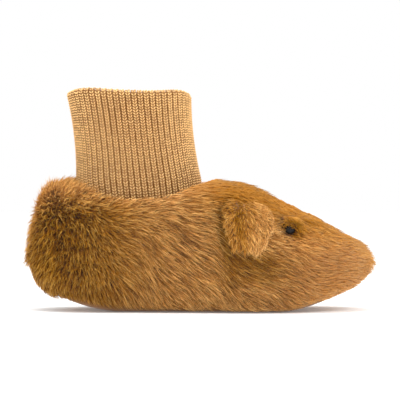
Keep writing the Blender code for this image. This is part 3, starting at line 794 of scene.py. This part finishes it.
def combedBed(start, end):
    # a grid over one region of the last, with the hair combed as furLie says
    places = np.linspace(math.acos(1 - 2 * start), math.acos(1 - 2 * end), fur["bedRows"])
    turns = np.radians(np.linspace(-180.0, 180.0, fur["bedColumns"]))
    along, turn = np.meshgrid((1 - np.cos(places)) / 2, turns, indexing="ij")
    along, tilt = np.clip(along, 0.0002, 0.9998), np.abs(turn)
    point, forward, roundIt, normal = skinFrame(along, turn, fur["bedDepth"])
    point = point + normal * creases(along, turn)[..., None]
    down = np.where(turn[..., None] > 0, roundIt, -roundIt)
    high, deep, length, stand, crestShade, sideShade = (
        readRows(furLie, column, along) for column in range(1, 7))
    low = easeTurn(tilt, 20, 115)
    wander = 9 * np.sin(along * 31 + turn * 2.1) + 7 * np.sin(along * 57 - turn * 3.7 + 1.0)
    angle = np.radians(blend(high, deep, low) + wander)[..., None]
    lie = unit(forward) * np.cos(angle) + unit(down) * np.sin(angle)
    # round the middle of the heel's and the toe's end every hair lies down
    tipped = (1 - ease(along, 0.004, 0.035) + 0.85 * ease(along, 0.965, 0.992))[..., None]
    lie = unit(lie * (1 - tipped) + tipped * alongSkin((0.0, 0.0, -1.0), normal))
    # painted light and shade, blended from the crest's value to the side's
    shade = blend(crestShade, sideShade, easeTurn(tilt, 34, 66))
    return SimpleNamespace(along=along, tilt=tilt, point=point, forward=forward, down=down, normal=normal,
                           lie=lie, length=length, stand=stand, shade=shade, keep=np.ones(along.shape))


def hugCuff(hair):
    # along the collar the fur leans on the knit and is a little shorter, with painted light along the rim
    hair.away = fromCuff(hair.point)
    rim = (1 - ease(hair.away, 1.0, fur["collarReach"])) * (hair.point[..., 2] > 0.03)
    beside = np.minimum(np.abs((hair.point[..., 1] - shift[1]) / cuffHalf) ** 2, 1)
    hair.lie = unit(hair.lie + (rim * beside)[..., None] * np.array([1.0, 0.0, 0.5]))
    hair.length *= 1 - fur["collarTrim"] * rim
    hair.shade += fur["collarPaintedLight"] * rim * beside


def hangAtHem(hair):
    # at the hem it hangs to the floor, and what has no room there tucks under
    hem = easeTurn(hair.tilt, fur["hemFrom"], fur["hemTo"])
    hang = soleLift(hair.point[..., 0] - shift[0]) + np.interp(hair.along, hemLift[:, 0], hemLift[:, 1])
    above = hair.point[..., 2] - hang
    room = ease(above, 0.0005, fur["hemRoom"])
    drop = hem * room * (1 - ease(hair.along, 0.7, 0.85))
    hair.lie = unit(hair.lie + drop[..., None] * np.array([0.15, 0.0, -0.6]))
    hair.lie = unit(hair.lie + unit(hair.forward) * (1.6 * hem * (1 - room))[..., None])
    hair.stand *= 1 - fur["hemFlat"] * hem
    # painted light on the hair tucked under the hem, where it lies in shade
    hair.shade += fur["hemPaintedLight"] * hem * (1 - room)
    reach = (above + np.minimum(hair.normal[..., 2], 0) * hair.stand) / np.maximum(-hair.lie[..., 2], 0.08)
    ends = 1 - ease(np.minimum(hair.along, 1 - hair.along), 0.10, 0.24)
    hair.length = np.clip(hair.length, 0.0012, np.maximum(reach, 0.0026 + 0.0008 * ends))


def pressFlat(hair):
    # the fur is pressed flat on the forehead and shorter at the toe
    forehead = hill((hair.along, fur["foreheadAlong"], fur["foreheadReach"]))
    forehead = forehead * (1 - ease(hair.tilt, 0.5, 0.8))
    hair.stand *= 1 - fur["foreheadFlat"] * forehead
    hair.length *= 1 - fur["toeTrim"] * ease(hair.along, 0.93, 1.0)


def partAtEyes(hair):
    # round each eye the hair parts: short and dark behind it, and long above, where it hangs over the bead
    spots = [skinFrame(eyePlace["along"], side * math.radians(eyePlace["turn"]), last["pile"])[0]
             for side in (1, -1)]
    hair.overEye, hair.nearEye = np.zeros(hair.along.shape), np.zeros(hair.along.shape)
    for spot in spots:
        aside = (hair.point - spot) / 0.001  # in millimetres from the bead's foot
        toeward, up = aside[..., 0], aside[..., 2]
        distance = np.linalg.norm(aside, axis=-1)
        slope = up + 0.28 * toeward
        brow = (ease(slope, -1.9, -1.0) * (1 - ease(np.abs(toeward + 1.2), 2.8, 4.6))
                * (1 - ease(distance, 4.5, 7.5)))
        behind = (1 - ease(distance, 5.0, 12.0)) * (1 - ease(toeward, -1.0, 2.0)) * (1 - brow)
        # a gap between ear and eye, darkened with painted shade, with a pale spot under it, and a streak of
        # painted shade before the brow
        parting = hill((toeward, -5.6, 2.0), (up, 2.2, 1.5))
        pale = hill((toeward, -6.9, 1.1), (up, -0.3, 1.6))
        streak = hill((toeward, 3.0, 4.5), (up, 2.4, 0.8))
        hair.overEye = np.maximum(hair.overEye, brow)
        hair.nearEye = np.maximum(hair.nearEye, 1 - ease(distance, 6.0, 9.0))
        hair.keep *= np.maximum(ease(distance, 2.6, 3.2), brow * ease(slope, -1.2, -0.7))
        hair.keep *= 1 - eyeFur["behindThin"] * behind * (1 - ease(distance, 4.3, 6.4))
        hair.keep *= 1 + eyeFur["browKeep"] * brow
        hair.keep *= 1 - eyeFur["partingThin"] * parting
        near = 1 - ease(distance, 3.0, 8.0)
        hair.stand = (hair.stand * (1 - eyeFur["nearFlat"] * near * (1 - brow))
                      + (eyeFur["browStand"] - hair.stand) * brow)
        downhill = alongSkin((0.25, 0.0, -1.0), hair.normal)
        hair.lie = unit(hair.lie * (1 - brow)[..., None] + downhill * brow[..., None])
        hair.length *= 1 - eyeFur["behindShort"] * behind
        hair.length = blend(hair.length, np.clip(slope * 1.3 + 1.7, 0.7, 5.0) * 0.001, brow)
        hair.length *= 1 - eyeFur["partingShort"] * parting
        # painted shade in the parting, along the streak and round the bead
        hair.shade *= (1 - eyeFur["partingPaintedShade"] * parting - eyeFur["streakPaintedShade"] * streak
                       - eyeFur["rimPaintedShade"] * (1 - ease(distance, 2.2, 4.2)))
        hair.shade += eyeFur["paleLight"] * pale
        hair.point += hair.normal * (eyeFur["browLift"] * brow)[..., None]


def mixTones(hair):
    # the tones are even on the crest and at the toe, and mixed along the sides and at the heel
    crest = 1 - ease(hair.tilt, 0.5, 1.0)
    atHeel = 1 - ease(hair.along, 0.12, 0.26)
    even = np.maximum(ease(hair.along, 0.62, 0.84), 1.15 * ease(hair.along, 0.32, 0.48) * crest)
    hair.lively = (1 - fur["calm"] * even - fur["heelMix"] * atHeel * crest
                   + fur["heelMix"] * atHeel * (1 - crest))
    # the hairs stray most on the heel's sides, and least at the hem, the heel's end, the crest and the brow
    hair.wild = 1 + fur["heelWild"] * (1 - ease(hair.along, 0.10, 0.26)) * ease(hair.tilt, 0.4, 0.9)
    hair.wild *= 1 - fur["hemTame"] * easeTurn(hair.tilt, 84, 112)
    for quiet in (1 - ease(hair.along, 0.01, 0.06), ease(hair.along, 0.40, 0.50) * crest, hair.overEye):
        hair.wild *= 1 - fur["tame"] * quiet


def clearFloor(hair):
    # no hair reaches the floor
    clear = np.maximum(hair.point[..., 2] - fur["floorGap"], 0.0002)
    facing = hair.normal[..., 2]
    low = np.minimum(hair.stand, 0.5 * clear / np.maximum(-facing, 0.2))
    hair.stand = np.where(facing < 0, low, hair.stand)
    hair.wild = np.minimum(hair.wild, 0.4 * clear / fur["Top"]["Stray"])
    reach = np.maximum(0.6 * clear / np.maximum(-hair.lie[..., 2], 0.05), fur["shortest"])
    hair.length = np.minimum(hair.length, reach)


def meetEars(hair):
    beyond = hair.along - ear["along"]
    # over each ear's root the fur turns down
    root = hill((beyond, -0.01, 0.060)) * hill((hair.tilt, math.radians(ear["root"] - 7), 0.15))
    hair.lie = unit(hair.lie + unit(hair.down) * root[..., None] * 0.9)
    hair.stand += ear["rootStand"] * root
    # under each ear it stands up to the flap, but not beside the eye
    beneath = (np.exp(-(beyond / 0.055) ** 4) * easeTurn(hair.tilt, 47, 56)
               * (1 - easeTurn(hair.tilt, 76, 86)))
    hair.stand += ear["beneathStand"] * beneath * (1 - hair.nearEye)
    # behind and below each ear the fur lies in its shadow
    offEar = hair.tilt - math.radians(ear["root"] + 0.55 * (ear["tip"] - ear["root"]))
    shadow = (hill((beyond, -0.078, 0.026), (offEar, 0.0, 0.36))
              + 0.7 * hill((beyond, 0.0, 0.07), (offEar, 0.42, 0.12)))
    hair.shade *= 1 - ear["shadow"] * shadow


def makeFur(trees):
    for number, (name, start, end) in enumerate(fur["regions"]):
        hair = combedBed(start, end)
        for change in (hugCuff, hangAtHem, pressFlat, partAtEyes, mixTones, clearFloor, meetEars):
            change(hair)
        # none grows inside the cuff or on the sole
        wanted = (((hair.away > 1.015) | (hair.point[..., 2] < 0.035))
                  & ((hair.tilt < math.pi / 2) | ~overSole(hair.point)))
        layers = {layer: dict(fur[layer]) for layer in ("Top", "Under")}
        if name == "furHeel":
            for values in layers.values():
                values.update({label: values[label] * share for label, share in fur["heel"].items()})
        fields = {"lie": hair.lie, "hairLength": hair.length, "stand": hair.stand, "shade": hair.shade,
                  "keep": hair.keep, "wild": hair.wild, "lively": hair.lively}
        growCoat(name, hair.point, gridFaces(*hair.along.shape, wanted.ravel(), True), fields, trees, layers,
                 {"Seed": 23 + 31 * number, "Finish": furFinish})
    print("fur grown")


# ears

# down the flap, width, how far it stands off
earRows = np.array([
    (0.00, 0.70, 0.00), (0.18, 0.88, 0.38), (0.42, 1.00, 0.86),
    (0.66, 0.96, 1.00), (0.86, 0.70, 0.82), (0.96, 0.40, 0.66),
])


def readEar(column, down):
    return np.interp(down, earRows[:, 0], earRows[:, column])


def earPoint(side, down, across, lift):
    # down runs from the root to the tip, across from -1 at the heel's side to 1 at the toe's
    half = ear["width"] / 2 * readEar(1, down)
    turn = side * np.radians(ear["root"] + (ear["tip"] - ear["root"]) * down)
    along = ear["along"] + across * half / last["length"]
    point, _, _, normal = skinFrame(along, turn, last["pile"])
    off = ear["gap"] + ear["thick"] / 2 + ear["standOff"] * readEar(2, down)
    return point + normal * np.asarray(off + lift)[..., None], normal


def earShape(down, across):
    # half the flap's thickness, its fold's depth, and how much closer it lies where it is thin, at its root
    thin = 0.4 + 0.6 * ease(down, 0.0, 0.42)
    thick = ear["thick"] / 2 * np.sqrt(np.maximum(1 - across ** 2, 0)) ** 0.7 * thin
    return thick, ear["fold"] * hill((across, ear["foldAt"], 0.16)), (1 - thin) * ear["thick"] / 2


def makeEar(name, side, node, trees):
    steps, rows = 15, 22
    across = np.sin(np.linspace(-math.pi / 2, math.pi / 2, steps))
    rings = []
    for row in range(rows):
        down = ear["reach"] * math.sin(math.pi / 2 * row / (rows - 1))
        thick, fold, drop = earShape(down, across)
        thick = thick * (0.35 + 0.65 * (1 - down ** 6))
        front, _ = earPoint(side, np.full(steps, down), across, thick - fold - drop)
        back, _ = earPoint(side, np.full(steps, down), across[::-1], -thick[::-1] - drop)
        rings.append(np.concatenate([front, back[1:-1]]))
    tip, _ = earPoint(side, np.array([1.0]), np.array([0.0]), np.array([0.0]))
    flap = lofted(name, rings + [tip])
    mesh = flap.data
    mesh.materials.append(skinFinish)
    mesh.materials.append(liningFinish)
    # the faces that look at the head, below the root, are lining
    middle = onLast(np.array([ear["along"]]), np.array([side * math.radians(62)]), 0.02)[0]
    for face in mesh.polygons:
        out = np.array(face.center) - middle
        inward = float(np.dot(out, face.normal)) < -0.6 * np.linalg.norm(out)
        face.material_index = 1 if inward and face.center.z < rings[2][0][2] else 0
    mesh.shade_smooth()
    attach(flap, "root")
    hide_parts(node)
    # the bed covers the outer face and wraps round the edges
    down, spread = np.meshgrid(np.linspace(0.0, 1.0, 40), np.linspace(-1.0, 1.0, 36), indexing="ij")
    wrap = np.sin(spread * math.pi / 2)
    thick, fold, drop = earShape(down, wrap)
    lift = thick - drop - 0.0004 - fold
    point, _ = earPoint(side, down * ear["reach"], wrap, lift)
    further, _ = earPoint(side, np.minimum(down + 0.02, 1.0) * ear["reach"], wrap, lift)
    before, _ = earPoint(side, np.maximum(down - 0.02, 0.0) * ear["reach"], wrap, lift)
    outwards, _ = earPoint(side, down * ear["reach"], np.clip(wrap + 0.02, -1, 1), lift)
    # the hair runs down the flap and away from a parting along its fold
    aside = np.clip(1.5 * (wrap - ear["foldAt"]), -0.70 - 0.30 * down, 0.62) * (1 - 0.25 * down)
    lie = unit(unit(further - before) * (0.45 + 0.45 * down)[..., None]
               + unit(outwards - point) * aside[..., None])
    edge = np.maximum(np.abs(wrap) ** 2, ease(down, 0.7, 1.0))
    # painted light makes the front part lighter, as if it catches the light, and painted shade keeps the
    # parting along the fold dark; the front edge is lighter still
    parting = hill((wrap, ear["foldAt"], 0.17)) * (1 - down ** 3)
    shade = 0.84 + 0.18 * ease(wrap, -0.2, 0.3) + 0.2 * ease(wrap, 0.8, 1.0) - 0.26 * parting
    length = ear["hairLength"] - 0.0032 * edge + ear["tipLength"] * ease(down, 0.72, 1.0)
    fields = {"lie": lie, "hairLength": length, "stand": ear["hairStand"] - 0.0015 * edge, "shade": shade,
              "keep": np.ones(down.shape), "wild": np.full(down.shape, ear["wild"]),
              "lively": np.full(down.shape, ear["lively"])}
    growCoat(name, point, gridFaces(*down.shape, np.ones(down.size, bool), side < 0), fields, trees,
             {layer: ear[layer] for layer in ("Top", "Under")}, {"Seed": 300 + side, "Finish": earFinish})


# eyes

def makeEye(name, side, node):
    made, sheet, shader = finish(name + "Gloss", Roughness=eyePlace["roughness"], Coat_Roughness=0.05,
                                 Coat_Weight=eyePlace["coat"], Specular_IOR_Level=eyePlace["specular"])
    sheet.join(mixColour(sheet, sheet.noise(700.0), (0.004, 0.004, 0.005), (0.016, 0.013, 0.012)),
               shader.inputs["Base Color"])
    radius = eyePlace["diameter"] / 2
    point, _, _, normal = skinFrame(eyePlace["along"], side * math.radians(eyePlace["turn"]), last["pile"])
    normal = Vector(normal)
    turn = normal.to_track_quat("Z", "Y")
    # the bead is a ball cut off a little below its middle
    middle = Vector(point) + normal * (last["gap"] - eyePlace["cut"] * radius)
    rings = []
    for row in range(15):
        dip = math.asin(eyePlace["cut"]) * (1 - row / 15) + math.pi / 2 * row / 15
        level, height = radius * math.cos(dip), radius * math.sin(dip)
        rings.append([middle + turn @ Vector((level * math.cos(a), level * math.sin(a), height))
                      for a in np.linspace(0, 2 * math.pi, 40, endpoint=False)])
    rings.append([middle + normal * radius])
    bead = lofted(name, rings)
    bead.data.materials.append(made)
    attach(bead, "root")
    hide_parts(node)


# sole and insole

def makePlate(name, inset, low, high, edge, finishMade, node):
    stations, rings = 64, []
    outline = planOutline(inset, 2 * stations)
    side = ((0.97, low + 0.5 * edge), (1.0, low + edge), (1.0, (low + high) / 2 + edge),
            (0.975, high + 0.9 * edge), (0.88, high + 0.5 * edge))
    under = [(share, low) for share in (-0.86, -0.4, 0.0, 0.4, 0.86)]
    top = [(share, high) for share in (0.6, 0.0, -0.6)]
    shape = [*under, *side, *top, *((-share, z) for share, z in side[::-1])]
    for i in range(1, stations):
        x, inner = outline[i]
        outer = outline[2 * stations - i][1]
        middle, half = (inner + outer) / 2, (inner - outer) / 2
        base = float(soleLift(x))
        rings.append(np.array([(x, middle + share * half, base + z) for share, z in shape]) + shift)
    plate = lofted(name, rings)
    plate.data.materials.append(finishMade)
    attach(plate, "root")
    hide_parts(node)


# knitted cuff

def rollPlace(angle, run):
    # run is metres along the knit from the top of the straight outside, negative below it
    roll = cuff["wall"] / 2
    top = cuffTop(angle)
    bend = np.clip(run / roll, 0.0, math.pi)
    below = np.where(run < 0, -run, np.maximum(run - math.pi * roll, 0.0))
    z = top - roll + roll * np.sin(bend) - below
    inset = roll * (1 - np.cos(bend))
    return cuffPoint(angle, z, inset), bend


def cuffAxes(angle, bend):
    # the knit's outward and upward directions, which turn over with the roll
    top = cuff["top"] + 0 * angle
    ahead = cuffPoint(angle + 0.02, top) - cuffPoint(angle - 0.02, top)
    up = unit(np.array([-cuff["lean"] / (cuff["top"] - last["heel"]), 0.0, 1.0]) + 0 * ahead)
    out = unit(np.cross(ahead, up))
    c, s = np.cos(bend)[..., None], np.sin(bend)[..., None]
    return unit(out * c + up * s), unit(up * c - out * s)


# one knitted loop: how far up, aside and out its stations lie, how fat the yarn is, how much painted light it
# gets
loopStations = (
    (-0.58, 0.08, -0.12, 0.0, 0.12), (-0.30, 0.16, 0.11, 0.17, 0.46), (0.04, 0.31, 0.26, 0.24, 1.06),
    (0.36, 0.45, 0.12, 0.17, 0.52), (0.60, 0.52, -0.12, 0.0, 0.12),
)


def stitchMesh():
    # two fat legs that lean together at the foot, seen from outside, local Y up, Z out
    points, faces, raised = [], [], []
    for side in (-1, 1):
        start = len(points)
        for y, x, z, fat, light in loopStations:
            if fat == 0.0:
                points.append((side * x, y, z))
                raised.append(light)
                continue
            for k in range(4):
                a = math.pi / 2 * (k + 0.5)
                points.append((side * x + fat * math.cos(a), y, z + fat * math.sin(a)))
                # each leg gets painted light on its outward side and painted shade on its inner side
                raised.append(light * (0.7 + 0.42 * math.sin(a)))
        faces += [tuple(v + start for v in face) for face in loftFaces([1, 4, 4, 4, 1])]
    mesh = meshOf("stitch", points, faces)
    carry(mesh, "raised", raised)
    faceOutward(mesh)
    return addObject("stitch", mesh)


def stitchTree(stitch):
    sheet, given = geometryTree("knittedLoops", (("Width", "Float"), ("Height", "Float"), ("Depth", "Float"),
                                                 ("Seed", "Int"), ("Finish", "Material")))
    turned = sheet.add("FunctionNodeAxesToRotation", {"primary_axis": "Z", "secondary_axis": "Y"}, {
        0: sheet.named("outward", "FLOAT_VECTOR"), 1: sheet.named("upward", "FLOAT_VECTOR")})
    loop = sheet.add("GeometryNodeObjectInfo", {}, {"Object": stitch}, out=4)
    size = sheet.add("ShaderNodeCombineXYZ", {}, {
        0: given["Width"] * sheet.chance(0.84, 1.12, given["Seed"]), 1: given["Height"], 2: given["Depth"]})
    toned = sheet.stored(given["Geometry"], "tone", sheet.chance(0.0, 1.0, given["Seed"] + 1))
    loops = sheet.add("GeometryNodeInstanceOnPoints", {}, {
        "Points": toned, "Instance": loop, "Rotation": turned, "Scale": size})
    return endTree(sheet, loops, ("outward", "upward"), given["Finish"])


def makeCuff():
    # the wall: a corrugated tube that rolls over at its top and runs down inside
    ribs, perRib = cuff["ribs"], 8
    count = ribs * perRib
    angles, girth = evenAngles(count)
    wave = np.cos(2 * math.pi * np.arange(count) / perRib)
    outsideRun = cuffTop(angles) - cuff["wall"] / 2 - cuffBase(angles)
    overRoll = math.pi * cuff["wall"] / 2
    # up the outside, over the roll and down inside: the run, the ribs' height and how deep they sink
    stretches = [(-(1 - share) * outsideRun, 0.5, 1.6) for share in np.linspace(0.0, 1.0, 16)]
    stretches += [(np.full(count, run), 0.3, 1.2) for run in np.linspace(0, overRoll, 9)[1:]]
    stretches += [(overRoll + share * outsideRun, 0.4, 0.6) for share in np.linspace(0.0, 1.0, 10)[1:]]
    rings = []
    for run, height, sink in stretches:
        point, bend = rollPlace(angles, run)
        out, _ = cuffAxes(angles, bend)
        rings.append(point + out * (cuff["ribDepth"] * height * (wave - sink))[:, None])
    faces = loftFaces([count] * len(rings))[:-2]
    final = (len(rings) - 1) * count
    faces += [((i + 1) % count, i, final + i, final + (i + 1) % count) for i in range(count)]
    mesh = meshOf("cuffWall", np.concatenate(rings), faces)
    # painted light on the ribs' crests and painted shade in the grooves between them
    carry(mesh, "raised", np.tile(0.25 + 0.25 * wave, len(rings)))
    faceOutward(mesh)
    wall = addObject("cuffWall", mesh)
    mesh.materials.append(shadedGrooveFinish)
    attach(wall, "root")
    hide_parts("cuff")
    # one loop for each rib and course, over the roll and a little way down inside
    ribAngles, rows = angles[::perRib], []
    run = cuffTop(ribAngles) - cuff["wall"] / 2 - cuffBase(ribAngles) - cuff["loopsFrom"]
    pitch = girth / ribs
    course = float(run.mean()) / cuff["courses"]
    for row in range(-cuff["courses"], cuff["rollCourses"] + cuff["insideCourses"]):
        place = row * run / cuff["courses"] if row < 0 else np.full(ribs, row * course)
        point, bend = rollPlace(ribAngles, place)
        rows.append((point, *cuffAxes(ribAngles, bend)))
    points, outs, ups = (np.concatenate(found) for found in zip(*rows))
    bed = bedMesh("loopBed", points, [], {"outward": outs, "upward": ups})
    loops = grow("cuffLoops", bed, stitchTree(stitchMesh()), {
        "Width": pitch * cuff["loopWidth"], "Height": course * cuff["loopHeight"], "Depth": cuff["loopDepth"],
        "Seed": 5, "Finish": yarnFinish})
    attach(loops, "root")
    print("cuff knitted")


# stage, light and camera

studio = {
    "distance": 1.0, "height": 0.056, "aim": (0.0, 0.0, 0.0474), "view": 0.1738,
    "world": 1.0, "glow": 0.12, "floor": -0.0003,
    # name, watts, size, place
    "lamps": (("key", 5.5, 0.5, (0.45, -0.75, 0.75)), ("top", 7.0, 0.7, (-0.05, 0.05, 1.0)),
              ("rim", 1.2, 0.4, (-0.7, 0.35, 0.6))),
}


def makeStage():
    corners = [(x, y, studio["floor"]) for x, y in ((-3, -3), (3, -3), (3, 3), (-3, 3))]
    floor = meshOf("floor", corners, [(0, 1, 2, 3)])
    made, sheet, shader = finish("paperFloor", Roughness=0.9, Emission_Color=(1.0, 1.0, 1.0, 1.0),
                                 Emission_Strength=studio["glow"])
    sheet.join(mixColour(sheet, sheet.noise(12.0), (0.93, 0.93, 0.93), (0.95, 0.95, 0.95)),
               shader.inputs["Base Color"])
    floor.materials.append(made)
    addObject("floor", floor)
    world = bpy.data.worlds.new("studioWorld")
    world.use_nodes = True
    back = world.node_tree.nodes["Background"]
    back.inputs["Color"].default_value = (1.0, 1.0, 1.0, 1.0)
    back.inputs["Strength"].default_value = studio["world"]
    bpy.context.scene.world = world
    for name, power, size, place in studio["lamps"]:
        light = bpy.data.lights.new(name, "AREA")
        light.energy, light.size = power, size
        lamp = addObject(name, light)
        lamp.location = place
        lamp.rotation_euler = (Vector((0, 0, 0.04)) - Vector(place)).to_track_quat("-Z", "Y").to_euler()
    camera = bpy.data.cameras.new("camera")
    camera.sensor_width = 36.0
    camera.lens = camera.sensor_width * studio["distance"] / studio["view"]
    camera.clip_start, camera.clip_end = 0.05, 20.0
    eye = addObject("camera", camera)
    aim = Vector(studio["aim"])
    reach = math.sqrt(studio["distance"] ** 2 - (studio["height"] - aim.z) ** 2)
    eye.location = (aim.x, -reach, studio["height"])
    eye.rotation_euler = (aim - eye.location).to_track_quat("-Z", "Y").to_euler()
    bpy.context.scene.camera = eye
    bpy.context.scene.view_settings.view_transform = "Standard"
    print("stage set")


makeStage()
makeUpper()
topHairs = strandMeshes(((0.0, 1.0), (0.5, 0.85)), "topHair")
underHairs = strandMeshes(((0.0, 1.25),), "underHair")
trees = {"Top": furTree(topHairs, "topHairs"), "Under": furTree(underHairs, "underHairs")}
makeFur(trees)
for sideWord, sideSign in (("Right", 1), ("Left", -1)):
    makeEar("ear" + sideWord, sideSign, "ear_" + sideWord.lower(), trees)
    makeEye("eye" + sideWord, sideSign, "eye_" + sideWord.lower())
print("ears and eyes put on")
makePlate("suedeSole", solePlace["inset"], 0.0, solePlace["thick"], solePlace["edge"], suedeFinish,
          "sole")
insoleLow = solePlace["thick"] + 0.75 * solePlace["edge"] + last["gap"]
makePlate("fleeceInsole", solePlace["inset"] + 2 * last["gap"], insoleLow, insoleLow + solePlace["fleece"], 0.0,
          liningFinish, "insole")
print("sole and insole laid")
makeCuff()
for helper in topHairs + underHairs + [bpy.data.objects["stitch"]]:
    bpy.data.objects.remove(helper)
